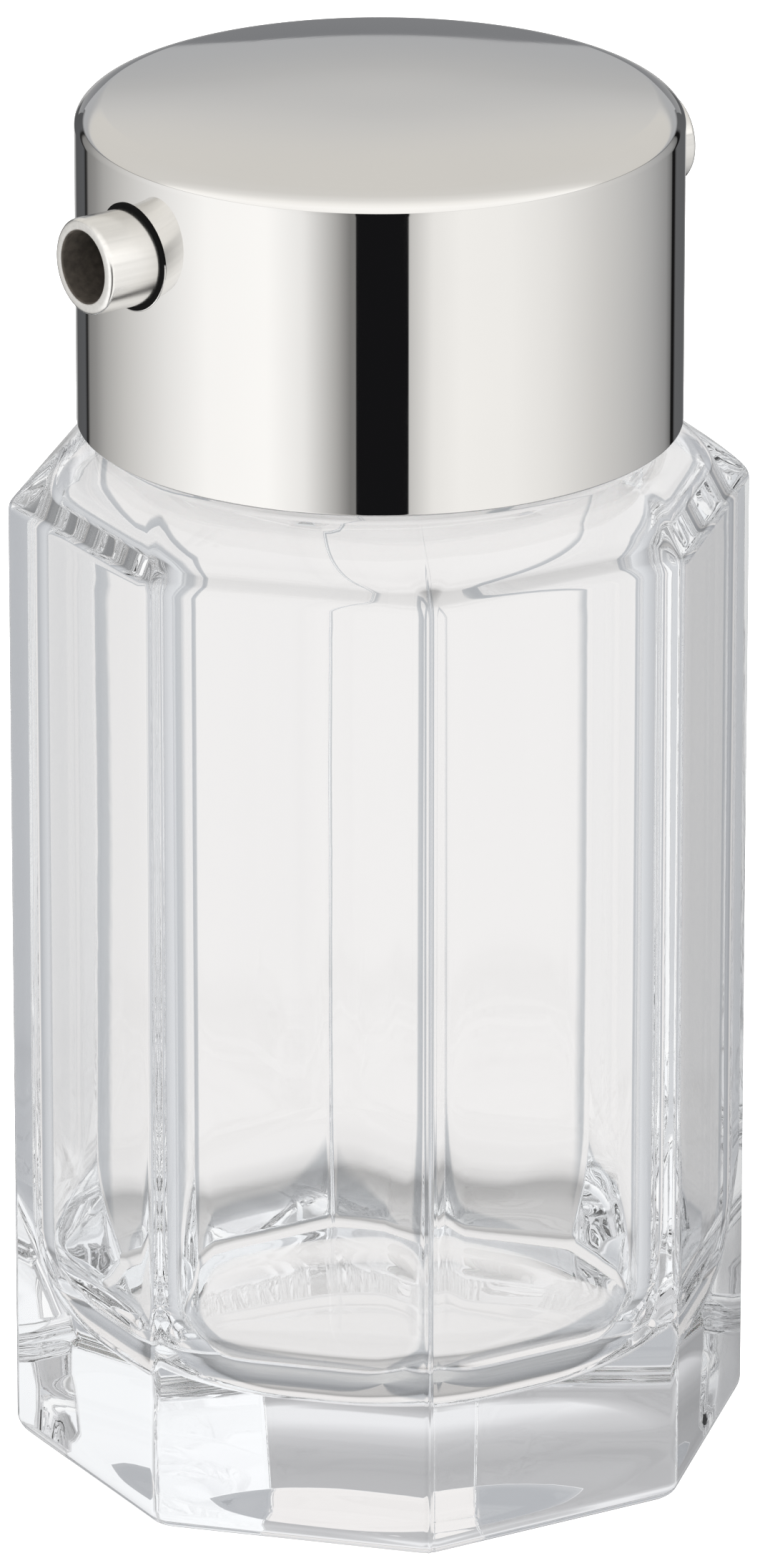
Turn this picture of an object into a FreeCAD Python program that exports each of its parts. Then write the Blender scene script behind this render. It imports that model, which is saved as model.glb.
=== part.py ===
import FreeCAD, Part
import math
import os

# Octagonal table bottle for oil or soy sauce: a pressed-glass body with a screw cap of drawn stainless steel.
# Two short tubes stand out of the cap's wall, opposite each other: oil leaves by one, air comes in by the other.
# Millimetres, +Z up, origin at the middle of the bottle's base, pour tube towards -X, vent tube towards +X.

# Glass body
across_flats = 57.3            # between opposite facets
facet_turn = -5.7              # degrees from +X to the middle of the nearest facet, with the cap screwed home
edge_round = 1.6               # rounding of the eight upright edges
shoulder_height = 83.4         # where the upright facets end
shoulder_rise = 4.8            # from there to the flat ring around the neck
shoulder_ring = 2.4            # width of that ring
shoulder_belly = 0.7           # how far the shoulder's middle stands outside a straight slope
shoulder_top_flat = 0.4        # width of what is left there of each flat side
heel = 2.0                     # bevel around the foot
heel_curve_inset = 0.65        # inset of the heel halfway up, which makes it convex
foot_dish_radius = 20.0        # shallow dish under the base
foot_dish_depth = 0.7
base_thickness = 10.0
wall = 4.1                     # glass between a facet and the hollow
hollow_edge_round = 7.0        # rounding of the hollow's upright edges
hollow_floor_radius = 9.0      # rounding between the hollow's wall and floor
shoulder_wall = 4.6            # glass under the shoulder, measured upright
neck_radius = 20.0
neck_wall = 3.0
neck_height = 11.7
neck_rim_round = 0.9

# Screw thread, right-handed
pitch = 4.233
thread_height = 1.15
thread_base_width = 2.0
thread_crest_width = 1.0
neck_thread_turns = 1.5
neck_thread_drop = 2.4         # rim to the upper end of the neck's thread, on its middle line
liner_thread_turns = 1.25
liner_thread_lag = 0.5         # turns from the start of the neck's thread to the start of the liner's
liner_thread_bias = 0.25       # how far the liner's thread sits above the middle of the neck's groove
thread_clearance = 0.6         # from the crest of a ridge to the wall it faces
thread_root_bite = 0.3         # how deep each ridge is rooted in its wall

# Cap
cap_gap = 1.1                  # from the ring around the neck up to the cap's lower edge
cap_corner = 2.3               # rounding between the cap's wall and top
cap_crown = 0.35               # how far the top domes up
cap_edge_round = 0.3           # lower edge, turned in a little
sheet = 0.5                    # stainless sheet
liner_wall = 2.75
liner_recess = 0.9             # liner's lower edge above the shell's
deck_thickness = 1.4           # inner flange that presses on the gasket
gasket_thickness = 1.2
gasket_side_clearance = 0.35
gasket_bead_height = 0.6       # bead in the liner that keeps the gasket in
gasket_bead_grip = 0.3         # how far it reaches under the gasket
gasket_bead_clearance = 0.3    # between the gasket and the bead

# Tubes and their seals
tube_radius = 4.0
tube_wall = 0.95
tube_reach = 4.6               # out of the cap's wall
tube_tip_round = 0.35
tube_collar_lip = 1.1          # how far the collar inside the cap stands out around the tube
tube_collar_thickness = 0.8
tube_collar_clearance = 0.4    # between the collar and the deck
boss_lip = 0.2                 # liner's boss around the collar
boss_depth = 1.25              # how far the liner's boss stands into the chamber
seal_wall = 0.45               # black ring between the tube and the hole in the shell
seal_stand_out = 0.12
seal_flange_lip = 0.55         # flange behind the shell, around the sleeve
seal_flange_thickness = 0.9
seal_headroom = 1.15           # upright wall left above the flange, below the cap's rounding

# How the solids are put together
overlap = 1.0                  # how far joined solids run into each other, and cutters past a face
tolerance = 0.01

# Places that follow
sides = 8
apothem = across_flats / 2
neck_bore_radius = neck_radius - neck_wall
liner_bore_radius = neck_radius + thread_height + thread_clearance
shell_inner_radius = liner_bore_radius + liner_wall
cap_radius = shell_inner_radius + sheet
shoulder_top_radius = neck_radius + shoulder_ring
shoulder_top = shoulder_height + shoulder_rise
neck_top = shoulder_top + neck_height
neck_thread_start = neck_top - neck_thread_drop - pitch * neck_thread_turns
gasket_top = neck_top + gasket_thickness
gasket_radius = liner_bore_radius - gasket_side_clearance
deck_top = gasket_top + deck_thickness
tube_collar_radius = tube_radius + tube_collar_lip
tube_axis = deck_top + tube_collar_clearance + tube_collar_radius
tube_tip = cap_radius + tube_reach
tube_bore_radius = tube_radius - tube_wall
boss_face = liner_bore_radius - boss_depth
boss_radius = tube_collar_radius + boss_lip
seal_radius = tube_radius + seal_wall
seal_flange_radius = seal_radius + seal_flange_lip
seal_pocket_floor = shell_inner_radius - seal_flange_thickness
shell_bottom = shoulder_top + cap_gap
shell_top = tube_axis + seal_flange_radius + seal_headroom + cap_corner + cap_crown
shell_underside = shell_top - cap_crown - sheet
liner_bottom = shell_bottom + liner_recess
liner_top = shell_underside - (cap_corner - sheet)
UP = FreeCAD.Vector(0, 0, 1)
ORIGIN = FreeCAD.Vector(0, 0, 0)


def at(radius, angle, height):
    """The point at that radius and angle (degrees) about the upright axis."""
    turn = math.radians(angle)
    return FreeCAD.Vector(radius * math.cos(turn), radius * math.sin(turn), height)


def rounded_octagon(facet_distance, corner_round, height):
    """Closed outline of straight sides joined by arcs, facets as far from the axis as asked."""
    half_angle = math.pi / sides
    corner_distance = facet_distance / math.cos(half_angle)
    arc_centre = corner_distance - corner_round / math.cos(half_angle)
    step = 360 / sides
    edges = []
    for side in range(sides):
        middle = facet_turn + side * step
        corner = middle + step / 2
        centre = at(arc_centre, corner, height)
        start = centre + at(corner_round, middle, 0)
        peak = centre + at(corner_round, corner, 0)
        end = centre + at(corner_round, middle + step, 0)
        before = at(arc_centre, middle - step / 2, height) + at(corner_round, middle, 0)
        edges.append(Part.makeLine(before, start))
        edges.append(Part.Arc(start, peak, end).toShape())
    return Part.Wire(edges)


def turned(points):
    """Solid turned about the upright axis from (radius, height) points; a third item is an arc's middle."""
    edges = []
    for index, point in enumerate(points):
        following = points[(index + 1) % len(points)]
        start = FreeCAD.Vector(point[0], 0, point[1])
        end = FreeCAD.Vector(following[0], 0, following[1])
        if len(point) == 3:
            middle = FreeCAD.Vector(point[2][0], 0, point[2][1])
            edges.append(Part.Arc(start, middle, end).toShape())
        else:
            edges.append(Part.makeLine(start, end))
    return Part.Face(Part.Wire(edges)).revolve(ORIGIN, UP, 360)


def corner_arc(centre, radius, angle):
    """Middle point of a rounded corner in the (radius, height) plane."""
    turn = math.radians(angle)
    return (centre[0] + radius * math.cos(turn), centre[1] + radius * math.sin(turn))


def upright_ring(outer, inner, low, high):
    """Ring about the upright axis."""
    return turned([(inner, low), (outer, low), (outer, high), (inner, high)])


def thread_ridge(wall_radius, height_towards, start_height, turns, start_angle):
    """Helical ridge standing out of a wall, outwards when height_towards is +1 and inwards when it is -1."""
    root = wall_radius - height_towards * thread_root_bite
    crest = wall_radius + height_towards * thread_height
    slope = (thread_base_width - thread_crest_width) / 2 / thread_height
    root_half = thread_base_width / 2 + slope * thread_root_bite
    crest_half = thread_crest_width / 2
    corners = [
        FreeCAD.Vector(root, 0, -root_half),
        FreeCAD.Vector(crest, 0, -crest_half),
        FreeCAD.Vector(crest, 0, crest_half),
        FreeCAD.Vector(root, 0, root_half),
    ]
    profile = Part.makePolygon(corners + [corners[0]])
    helix = Part.Wire(Part.makeHelix(pitch, pitch * turns, wall_radius))
    ridge = helix.makePipeShell([profile], True, True)
    ridge.rotate(ORIGIN, UP, start_angle)
    ridge.translate(FreeCAD.Vector(0, 0, start_height))
    return ridge


def across(radius, low, high, side):
    """Rod along X at the tubes' height, from low to high, on the +X side or the -X side."""
    start = FreeCAD.Vector(side * low, 0, tube_axis)
    return Part.makeCylinder(radius, high - low, start, FreeCAD.Vector(side, 0, 0))


def rim_at(solid, height):
    """The circular edge of an upright turned solid that lies all at one height."""
    level = []
    for edge in solid.Edges:
        box = edge.BoundBox
        if abs(box.ZMin - height) + abs(box.ZMax - height) < tolerance:
            level.append(edge)
    return max(level, key=lambda edge: edge.Length)


def glass_bottle():
    """Eight-sided body, shoulder, threaded neck and hollow, all one piece of glass."""
    body = Part.makeLoft([
        rounded_octagon(apothem - heel, edge_round, 0),
        rounded_octagon(apothem - heel_curve_inset, edge_round, heel / 2),
        rounded_octagon(apothem, edge_round, heel),
        rounded_octagon(apothem, edge_round, shoulder_height),
    ], True, True)
    shoulder_top_round = shoulder_top_radius - shoulder_top_flat / 2 / math.tan(math.pi / sides)
    middle_distance = (apothem + shoulder_top_radius) / 2 + shoulder_belly
    middle_round = (edge_round + shoulder_top_round) / 2
    middle_height = (shoulder_height + shoulder_top) / 2
    shoulder = Part.makeLoft([
        rounded_octagon(apothem, edge_round, shoulder_height),
        rounded_octagon(middle_distance, middle_round, middle_height),
        rounded_octagon(shoulder_top_radius, shoulder_top_round, shoulder_top),
    ], True, True)
    rim_centre = (neck_radius - neck_rim_round, neck_top - neck_rim_round)
    neck = turned([
        (0, shoulder_top - overlap), (neck_radius, shoulder_top - overlap),
        (neck_radius, rim_centre[1], corner_arc(rim_centre, neck_rim_round, 45)),
        (rim_centre[0], neck_top), (0, neck_top),
    ])
    ridge = thread_ridge(neck_radius, 1, neck_thread_start, neck_thread_turns, 0)
    corner_radius = apothem / math.cos(math.pi / sides)
    hollow_radius = (apothem - wall) / math.cos(math.pi / sides)
    floor_centre = (hollow_radius - hollow_floor_radius, base_thickness + hollow_floor_radius)
    ceiling = shoulder_height - shoulder_wall
    shoulder_slope = shoulder_rise / (corner_radius - shoulder_top_radius)
    throat = ceiling + (hollow_radius - neck_bore_radius) * shoulder_slope
    hollow = turned([
        (0, base_thickness),
        (floor_centre[0], base_thickness, corner_arc(floor_centre, hollow_floor_radius, -45)),
        (hollow_radius, floor_centre[1]), (hollow_radius, ceiling),
        (neck_bore_radius, throat), (neck_bore_radius, neck_top + overlap), (0, neck_top + overlap),
    ])
    hollow_outline = rounded_octagon(apothem - wall, hollow_edge_round, 0)
    hollow_prism = Part.Face(hollow_outline).extrude(UP * (neck_top + overlap))
    hollow = hollow.common(hollow_prism)
    dish_radius = (foot_dish_radius ** 2 + foot_dish_depth ** 2) / (2 * foot_dish_depth)
    dish = Part.makeSphere(dish_radius, FreeCAD.Vector(0, 0, foot_dish_depth - dish_radius))
    return body.fuse([shoulder, neck, ridge]).removeSplitter().cut([hollow, dish])


def cap_shell():
    """Drawn stainless cup with a softly domed top and a round hole for each tube."""
    crown_radius = (cap_radius ** 2 + cap_crown ** 2) / (2 * cap_crown)
    crown = Part.makeSphere(crown_radius, UP * (shell_top - crown_radius))
    outside = Part.makeCylinder(cap_radius, shell_top - shell_bottom, UP * shell_bottom).common(crown)
    outside = outside.makeFillet(cap_corner, [rim_at(outside, shell_top - cap_crown)])
    outside = outside.makeFillet(cap_edge_round, [rim_at(outside, shell_bottom)])
    inside = Part.makeCylinder(shell_inner_radius, shell_underside - shell_bottom, UP * shell_bottom)
    inside = inside.makeFillet(cap_corner - sheet, [rim_at(inside, shell_underside)])
    shell = outside.cut(inside)
    for side in (-1, 1):
        shell = shell.cut(across(seal_radius, boss_face, tube_tip, side))
    return shell


def cap_liner():
    """White plastic sleeve inside the shell, with the cap's thread, the gasket's deck and two tube bosses."""
    bead_top = neck_top - gasket_bead_clearance
    bead_radius = gasket_radius - gasket_bead_grip
    sleeve = upright_ring(shell_inner_radius, liner_bore_radius, liner_bottom, liner_top)
    deck = upright_ring(liner_bore_radius + overlap, neck_bore_radius, gasket_top, deck_top)
    bead = upright_ring(liner_bore_radius + overlap, bead_radius, bead_top - gasket_bead_height, bead_top)
    start_height = neck_thread_start + liner_thread_bias
    ridge = thread_ridge(liner_bore_radius, -1, start_height, liner_thread_turns, 360 * liner_thread_lag)
    bosses = []
    for side in (-1, 1):
        bosses.append(across(boss_radius, boss_face, liner_bore_radius + overlap, side))
    liner = sleeve.fuse([deck, bead, ridge] + bosses).removeSplitter()
    for side in (-1, 1):
        tube_hole = across(tube_radius, boss_face - overlap, cap_radius, side)
        seal_pocket = across(seal_flange_radius, seal_pocket_floor, cap_radius, side)
        liner = liner.cut([tube_hole, seal_pocket])
    return liner


def rim_gasket():
    """Soft ring between the bottle's rim and the liner's deck."""
    return upright_ring(gasket_radius, neck_bore_radius, neck_top, gasket_top)


def tube(side):
    """Short stainless tube with a collar that bears on the liner's boss."""
    body = across(tube_radius, boss_face - tube_collar_thickness, tube_tip, side)
    tip_edges = [edge for edge in body.Edges if abs(abs(edge.CenterOfMass.x) - tube_tip) < tolerance]
    body = body.makeFillet(tube_tip_round, tip_edges)
    collar = across(tube_collar_radius, boss_face - tube_collar_thickness, boss_face, side)
    bore = across(tube_bore_radius, boss_face - 2 * tube_collar_thickness, tube_tip + overlap, side)
    return body.fuse(collar).removeSplitter().cut(bore)


def tube_seal(side):
    """Black rubber ring around a tube: a sleeve in the shell's hole and a flange held behind the shell."""
    root = seal_pocket_floor - overlap
    in_hole = upright_ring(cap_radius + seal_stand_out, root, liner_bottom, shell_top)
    behind_shell = upright_ring(shell_inner_radius, root, liner_bottom, shell_top)
    sleeve = across(seal_radius, seal_pocket_floor, tube_tip, side).common(in_hole)
    flange = across(seal_flange_radius, seal_pocket_floor, tube_tip, side).common(behind_shell)
    return sleeve.fuse(flange).removeSplitter().cut(across(tube_radius, 0, tube_tip, side))


PIECES = {
    "glass_bottle": glass_bottle(),
    "cap_shell": cap_shell(),
    "cap_liner": cap_liner(),
    "rim_gasket": rim_gasket(),
    "pour_tube": tube(-1),
    "pour_tube_seal": tube_seal(-1),
    "vent_tube": tube(1),
    "vent_tube_seal": tube_seal(1),
}

os.makedirs("parts", exist_ok=True)
for name, piece in PIECES.items():
    if not piece.isValid() or len(piece.Solids) != 1:
        raise ValueError(f"{name} is not one sound solid")
    piece.exportStep(os.path.join("parts", name + ".step"))
    box = piece.BoundBox
    print(f"{name}: {piece.Volume:.1f} mm3, z {box.ZMin:.2f} to {box.ZMax:.2f}")
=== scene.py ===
import bmesh
import bpy
import math
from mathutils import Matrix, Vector


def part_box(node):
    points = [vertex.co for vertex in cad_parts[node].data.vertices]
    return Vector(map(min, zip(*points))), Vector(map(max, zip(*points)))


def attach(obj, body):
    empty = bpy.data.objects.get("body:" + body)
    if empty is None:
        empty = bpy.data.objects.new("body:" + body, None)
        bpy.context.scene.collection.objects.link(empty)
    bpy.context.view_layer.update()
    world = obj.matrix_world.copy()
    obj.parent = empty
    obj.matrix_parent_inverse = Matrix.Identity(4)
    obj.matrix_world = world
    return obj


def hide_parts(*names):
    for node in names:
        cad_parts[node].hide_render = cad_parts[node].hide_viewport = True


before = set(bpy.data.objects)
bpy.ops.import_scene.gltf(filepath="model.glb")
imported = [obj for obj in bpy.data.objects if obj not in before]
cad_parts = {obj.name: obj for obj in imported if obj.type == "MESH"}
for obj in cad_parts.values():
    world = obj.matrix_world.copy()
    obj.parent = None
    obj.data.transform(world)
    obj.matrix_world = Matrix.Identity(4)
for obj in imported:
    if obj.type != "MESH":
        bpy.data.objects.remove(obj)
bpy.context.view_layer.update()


# ---------------------------------------------------------------- camera
# A long lens from well back, looking down a little on the front of the bottle, with the pour tube to the
# left. Light passes through many faces of clear glass, so the limits on its bounces are raised.
camera_azimuth = math.radians(-36.0)
camera_elevation = math.radians(20.6)
camera_distance = 1.101
aim = Vector((0, 0, 0.057))
toward_camera = Vector((
    math.sin(camera_azimuth) * math.cos(camera_elevation),
    -math.cos(camera_azimuth) * math.cos(camera_elevation),
    math.sin(camera_elevation),
))
camera_data = bpy.data.cameras.new("camera")
camera_data.lens = 304.2
camera_data.sensor_width = 36
camera_data.clip_start = 0.1
camera_data.clip_end = 20
camera = bpy.data.objects.new("camera", camera_data)
bpy.context.scene.collection.objects.link(camera)
camera.location = aim + toward_camera * camera_distance
camera.rotation_mode = "QUATERNION"
camera.rotation_quaternion = toward_camera.to_track_quat("Z", "Y")
bpy.context.scene.camera = camera
bpy.context.scene.view_settings.view_transform = "Standard"
bpy.context.scene.cycles.max_bounces = 32
bpy.context.scene.cycles.glossy_bounces = 24
bpy.context.scene.cycles.transmission_bounces = 32


# ---------------------------------------------------------------- table and light
# A white table in a white tent. The slit of the tent in front and the cloths behind the bottle are dark, and
# the polished cap shows them as a black stripe and as a dark band down each side. Clear glass sees the pale
# tent behind.
def add_node(tree, kind, inputs=None, **settings):
    """New node with its settings and its input values; an input may also be another node's output."""
    node = tree.nodes.new(kind)
    for name, value in settings.items():
        setattr(node, name, value)
    for key, value in (inputs or {}).items():
        if isinstance(value, bpy.types.NodeSocket):
            tree.links.new(value, node.inputs[key])
        else:
            node.inputs[key].default_value = value
    return node


def maths(tree, operation, *values):
    """Output of a Math node working on numbers or other outputs."""
    return add_node(tree, "ShaderNodeMath", dict(enumerate(values)), operation=operation).outputs[0]


def ramp(tree, factor, stops):
    """Straight colour ramp through (place, brightness or colour) stops."""
    node = add_node(tree, "ShaderNodeValToRGB", {"Fac": factor})
    elements = node.color_ramp.elements
    for index, (place, shade) in enumerate(stops):
        element = elements[index] if index < 2 else elements.new(place)
        element.position = place
        element.color = (*(shade if isinstance(shade, tuple) else (shade, shade, shade)), 1)
    return node.outputs["Color"]


def mix(tree, factor, first, second, blend="MIX"):
    """Colour output of a Mix node."""
    inputs = {"Factor": factor, 6: first, 7: second}
    return add_node(tree, "ShaderNodeMix", inputs, data_type="RGBA", blend_type=blend).outputs[2]


def tint(shade, warmth):
    """Grey of that brightness, warmer above zero and cooler below."""
    return (shade * (1 + 0.5 * warmth), shade, shade * (1 - warmth))


def build_tent():
    world = bpy.data.worlds.new("white_tent")
    bpy.context.scene.world = world
    world.use_nodes = True
    tree = world.node_tree
    tree.nodes.clear()
    direction = add_node(tree, "ShaderNodeTexCoord").outputs["Generated"]
    turn = add_node(tree, "ShaderNodeMapping", {"Vector": direction, "Rotation": (0, 0, -camera_azimuth)})
    x, y, z = add_node(tree, "ShaderNodeSeparateXYZ", {"Vector": turn.outputs[0]}).outputs
    front = maths(tree, "MULTIPLY", y, -1.0)
    around = maths(tree, "DIVIDE", maths(tree, "ARCTAN2", x, front), math.radians(360))

    # Low down, by how far round from the front, in turns: minus to the left, plus to the right.
    cloths = [
        (-0.5, 0.5, 0), (-0.468, 0.5, 0), (-0.458, 0.1, -0.03), (-0.415, 0.12, -0.06),
        (-0.411, 0.025, 0), (-0.405, 0.025, 0), (-0.4, 0.26, 0.02), (-0.378, 0.34, 0.02),
        (-0.355, 0.5, 0.02), (-0.31, 0.73, 0.02), (-0.245, 1.03, 0.01), (-0.19, 1.24, 0.01),
        (-0.12, 1.28, 0.01), (-0.08, 1.08, 0.01), (-0.045, 0.52, 0.02), (-0.03, 0.24, 0.02),
        (0.032, 0.72, 0.02), (0.055, 1.05, 0.02), (0.085, 1.15, 0.02), (0.14, 1.13, 0.02),
        (0.19, 1.02, 0.02), (0.25, 0.81, 0.02), (0.3, 0.67, 0.01), (0.345, 0.52, 0),
        (0.383, 0.36, 0), (0.398, 0.2, 0), (0.402, 0.01, 0), (0.411, 0.01, 0),
        (0.416, 0.14, -0.04), (0.468, 0.12, -0.04), (0.478, 0.5, 0), (0.5, 0.5, 0),
    ]
    stops = [(place + 0.5, tint(shade, warmth)) for place, shade, warmth in cloths]
    low = ramp(tree, maths(tree, "ADD", around, 0.5), stops)
    slit_edges = []
    for outer, inner in ((-0.0256, -0.0242), (0.0305, 0.0291)):
        limits = {"Value": around, "From Min": outer, "From Max": inner}
        slit_edges.append(add_node(tree, "ShaderNodeMapRange", limits).outputs[0])
    slit = maths(tree, "MULTIPLY", *slit_edges)
    low = mix(tree, slit, low, (0.009, 0.009, 0.01, 1))

    # The cloth straight behind is lit from below and stands higher in its middle than at its sides.
    aside = maths(tree, "ABSOLUTE", around)
    hem = add_node(tree, "ShaderNodeMapRange", {
        "Value": aside, "From Min": 0.45, "From Max": 0.497, "To Min": 0.13, "To Max": 0.2535,
    }).outputs[0]
    cloth = ramp(tree, z, [(0.0, tint(0.37, -0.02)), (0.12, tint(0.31, -0.04)), (0.25, tint(0.255, -0.05))])
    above_table = maths(tree, "GREATER_THAN", z, -0.02)
    straight_behind = maths(tree, "MULTIPLY", above_table, maths(tree, "GREATER_THAN", aside, 0.445))
    low = mix(tree, straight_behind, low, cloth)

    # The roof, from the cloth's hem behind over the top to the front: grey behind and brightest in front.
    over = maths(tree, "DIVIDE", maths(tree, "ARCTAN2", z, y), math.pi)
    roof = ramp(tree, over, [
        (0.08, tint(0.52, -0.03)), (0.088, tint(0.53, -0.02)), (0.0935, tint(0.57, 0)),
        (0.0967, tint(0.625, 0)), (0.0983, tint(0.656, 0.01)), (0.1017, tint(0.705, 0.02)),
        (0.107, tint(0.747, 0.04)), (0.114, tint(0.76, 0.05)), (0.167, tint(0.78, 0.05)),
        (0.433, tint(0.82, 0.04)), (0.54, tint(0.95, 0.03)), (0.644, tint(1.16, 0.03)),
        (0.755, tint(1.26, 0.02)), (1.0, tint(1.2, 0.02)),
    ])
    above_hem = maths(tree, "SUBTRACT", z, hem)
    joint = add_node(tree, "ShaderNodeMapRange", {
        "Value": aside, "From Min": 0.12, "From Max": 0.3, "To Min": 0.7, "To Max": 0.2,
    }).outputs[0]
    shade = add_node(tree, "ShaderNodeMapRange", {
        "Value": above_hem, "From Min": 0.0, "From Max": 0.05, "To Min": joint, "To Max": 1.0,
    }).outputs[0]
    kept = maths(tree, "MAXIMUM", shade, maths(tree, "GREATER_THAN", aside, 0.45))
    grey = add_node(tree, "ShaderNodeCombineColor", {0: kept, 1: kept, 2: kept}).outputs[0]
    roof = mix(tree, 1.0, roof, grey, "MULTIPLY")
    tent = mix(tree, maths(tree, "GREATER_THAN", above_hem, 0.0), low, roof)

    # What is seen through the glass: a white sweep straight behind, grey beside it, the bright room in front,
    # and a grey ceiling whose right side is lit.
    sideways = maths(tree, "ABSOLUTE", maths(tree, "DIVIDE", maths(tree, "ARCTAN2", x, y), math.pi))
    behind = ramp(tree, sideways, [
        (0.0, (0.88, 0.855, 0.845)), (0.085, (0.88, 0.855, 0.845)), (0.11, tint(0.52, -0.04)),
        (0.17, tint(0.46, -0.06)), (0.3, tint(0.6, -0.04)), (0.5, tint(0.74, -0.03)),
        (0.62, tint(0.86, -0.02)), (0.75, tint(1.0, 0)), (1.0, tint(1.05, 0)),
    ])
    level = ramp(tree, maths(tree, "MULTIPLY_ADD", z, 0.5, 0.5), [
        (0.0, 0.58), (0.07, 0.58), (0.1, 0.46), (0.125, 0.42), (0.15, 0.76), (0.19, 0.96), (0.3, 1.0),
        (0.5, 1.0), (0.58, 0.98), (0.635, 0.95), (0.655, 0.7), (0.69, 0.55), (0.72, 0.5), (0.8, 0.6),
        (0.9, 0.85), (1.0, 1.1),
    ])
    lit_high = add_node(tree, "ShaderNodeMapRange", {"Value": z, "From Min": 0.1, "From Max": 0.2}).outputs[0]
    behind = mix(tree, lit_high, behind, (0.86, 0.86, 0.88, 1))
    through = mix(tree, 1.0, behind, level, "MULTIPLY")
    right_limits = {"Value": x, "From Min": 0.2, "From Max": 0.36}
    lit_right = add_node(tree, "ShaderNodeMapRange", right_limits).outputs[0]
    through = mix(tree, maths(tree, "MULTIPLY", lit_right, lit_high), through, (0.97, 0.98, 1.0, 1))

    path = add_node(tree, "ShaderNodeLightPath").outputs
    lit = mix(tree, path["Is Transmission Ray"], tent, through)
    shown = mix(tree, path["Is Camera Ray"], lit, (1, 1, 1, 1))
    background = add_node(tree, "ShaderNodeBackground", {"Color": shown, "Strength": 1.0})
    output = add_node(tree, "ShaderNodeOutputWorld")
    tree.links.new(background.outputs[0], output.inputs[0])


def build_table():
    mesh = bpy.data.meshes.new("white_table")
    form = bmesh.new()
    bmesh.ops.create_circle(form, cap_ends=True, segments=96, radius=4.0)
    form.to_mesh(mesh)
    form.free()
    table = bpy.data.objects.new("white_table", mesh)
    bpy.context.scene.collection.objects.link(table)
    material = bpy.data.materials.new("white_card")
    material.use_nodes = True
    surface = material.node_tree.nodes["Principled BSDF"]
    surface.inputs["Base Color"].default_value = (0.8, 0.8, 0.8, 1)
    surface.inputs["Roughness"].default_value = 0.9
    surface.inputs["Specular IOR Level"].default_value = 0.0
    surface.inputs["Emission Color"].default_value = (1, 1, 1, 1)
    surface.inputs["Emission Strength"].default_value = 1.0
    mesh.materials.append(material)
    table.visible_glossy = False
    table.visible_transmission = False
    table.location.z = -0.0002


def add_soft_box(name, place, size, power):
    lamp_data = bpy.data.lights.new(name, "AREA")
    lamp_data.shape = "SQUARE"
    lamp_data.size = size
    lamp_data.energy = power
    lamp = bpy.data.objects.new(name, lamp_data)
    bpy.context.scene.collection.objects.link(lamp)
    lamp.location = place
    lamp.rotation_mode = "QUATERNION"
    lamp.rotation_quaternion = (Vector(place) - aim).to_track_quat("Z", "Y")
    lamp.visible_glossy = False
    lamp.visible_transmission = False


build_tent()
build_table()
add_soft_box("soft_box_left", (-0.9, -0.5, 0.9), 0.9, 9.0)
add_soft_box("soft_box_right", (0.7, -1.0, 1.0), 0.9, 8.0)
add_soft_box("soft_box_top", (0.1, 0.3, 1.4), 1.2, 9.0)


# ---------------------------------------------------------------- glass bottle
# One pressing of clear soda-lime glass: eight flat sides, a shoulder that runs round, a neck with a screw
# thread and a thick foot. The outside is formed by a two-part mould, which leaves a fine seam; the hollow is
# formed by a plunger.
MM = 0.001
neck_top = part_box("glass_bottle")[1].z
facets = 8
half_facet = math.pi / facets
facet_turn = math.radians(-5.7)
flat_distance = 28.62 * MM
corner_round = 1.6 * MM
foot_dish_radius = 20 * MM
foot_dish_depth = 0.7 * MM
heel = 2.0 * MM
crease_start = 82.55 * MM
crease_round = 1.6 * MM
crease_turn = math.radians(38)
shoulder_end = 88.2 * MM
shoulder_radius = 23.2 * MM
neck_radius = 19.98 * MM
neck_bore = 17.02 * MM
neck_root_round = 0.8 * MM
neck_rim_round = 0.9 * MM
hollow_flat = 24.5 * MM
hollow_round = 7.0 * MM
hollow_floor = 10.0 * MM
hollow_floor_round = 9.0 * MM
hollow_ceiling = 82.4 * MM
throat = 86.8 * MM
thread_pitch = 4.233 * MM
station_values = ("flat", "rounding", "height", "outside", "neck")


def between(a, b, share):
    return a + (b - a) * share


def quarter_turn(steps):
    """Sine and cosine at equal steps over a right angle, without the start."""
    angles = [math.radians(90 * step / steps) for step in range(1, steps + 1)]
    return [(math.sin(angle), math.cos(angle)) for angle in angles]


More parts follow.
